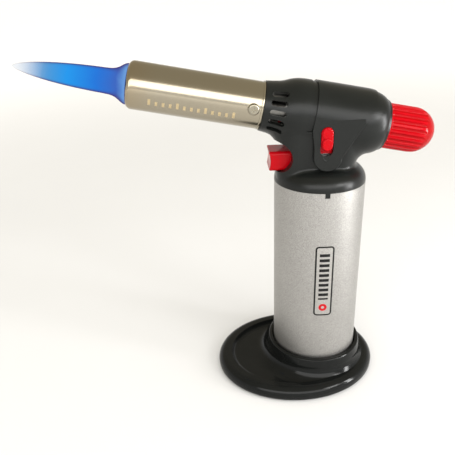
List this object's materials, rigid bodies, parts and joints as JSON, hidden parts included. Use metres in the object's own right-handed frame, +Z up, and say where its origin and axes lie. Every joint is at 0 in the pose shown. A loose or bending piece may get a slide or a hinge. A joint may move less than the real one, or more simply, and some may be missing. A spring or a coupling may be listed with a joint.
{
  "type": "butane torch",
  "caption": "Table-standing butane torch for jewellery work: round fuel tank in an oval stand, angled metal flame tube, push trigger, lock slide and flame adjusting knob.",
  "frame": {"origin": "on the tank's axis, at the underside of the stand, where the torch stands on the table", "axes": "+Z up along the tank's axis, -X towards the nozzle, -Y towards the side that carries the lock slide"},
  "size_m": [0.1456, 0.0731, 0.1705],
  "materials": {
    "stand_plastic": "gloss black moulding",
    "head_plastic": "satin charcoal moulding",
    "red_plastic": "satin red moulding",
    "sleeve_metal": "bead-blasted aluminium",
    "label_film": "clear film with a plain printed border and bars",
    "cap_plastic": "black moulding",
    "tank_steel": "drawn steel",
    "brass": "turned brass",
    "spring_steel": "spring wire",
    "zinc_screw": "zinc-plated screw",
    "burner_metal": "polished warm nickel",
    "socket_metal": "turned socket",
    "seal_rubber": "nitrile seal",
    "lead_rubber": "silicone-insulated lead",
    "igniter_case": "white igniter case",
    "ceramic": "white ceramic",
    "electrode_steel": "heat-resisting wire"
  },
  "bodies": {
    "stand": {"stand_base": "stand_plastic"},
    "torch": {"tank_sleeve": "sleeve_metal", "tank_label": "label_film", "bottom_cap": "cap_plastic", "fuel_tank": "tank_steel", "tank_lid": "tank_steel", "dip_tube": "igniter_case", "fill_valve_body": "brass", "fill_valve_seal": "seal_rubber", "fill_valve_spring": "spring_steel", "housing_left": "head_plastic", "housing_right": "head_plastic", "housing_screws": "zinc_screw", "lock_spring": "spring_steel", "trigger_spring": "spring_steel", "piezo_body": "igniter_case", "igniter_lead": "lead_rubber", "gas_valve_body": "brass", "gas_valve_seal": "seal_rubber", "gas_valve_spring": "spring_steel", "feed_pipe": "brass", "regulator_body": "brass", "gland_nut": "brass", "spindle_oring": "seal_rubber", "gas_jet": "brass", "burner_mount": "socket_metal", "collar_ring": "burner_metal", "burner_tube": "burner_metal", "burner_screws": "zinc_screw", "mixing_tube": "brass", "flame_holder": "tank_steel", "electrode_insulator": "ceramic", "electrode": "electrode_steel"},
    "trigger": {"trigger": "red_plastic", "piezo_plunger": "igniter_case"},
    "gas_stem": {"gas_valve_stem": "brass"},
    "lock": {"lock_slider": "red_plastic"},
    "knob": {"regulator_knob": "red_plastic", "regulator_spindle": "brass"},
    "fill_stem": {"fill_valve_stem": "brass"}
  },
  "joints": [
    {"name": "torch_lift", "type": "slide", "parent": "stand", "child": "torch", "axis": [0, 0, 1], "range_m": [0, 0.03]},
    {"name": "trigger_push", "type": "slide", "parent": "torch", "child": "trigger", "axis": [1, 0, 0], "range_m": [0, 0.005], "stiffness_N_per_m": 1500, "springref_m": -0.002, "deforming": ["trigger_spring"]},
    {"name": "gas_stem_lift", "type": "slide", "parent": "torch", "child": "gas_stem", "axis": [0, 0, 1], "range_m": [0, 0.00175], "stiffness_N_per_m": 600, "springref_m": -0.002, "deforming": ["gas_valve_spring"]},
    {"name": "lock_slide", "type": "slide", "parent": "torch", "child": "lock", "axis": [0, 0, -1], "range_m": [0, 0.0029]},
    {"name": "knob_turn", "type": "hinge", "parent": "torch", "child": "knob", "pos_m": [0, 0, 0.142], "axis": [-0.9803, 0, 0.1977], "range_deg": [0, 270]},
    {"name": "fill_stem_push", "type": "slide", "parent": "torch", "child": "fill_stem", "axis": [0, 0, 1], "range_m": [0, 0.0015], "stiffness_N_per_m": 800, "springref_m": -0.001, "deforming": ["fill_valve_spring"]}
  ],
  "couplings": [
    {"joint": "gas_stem_lift", "follows": "trigger_push", "ratio": 0.35}
  ]
}
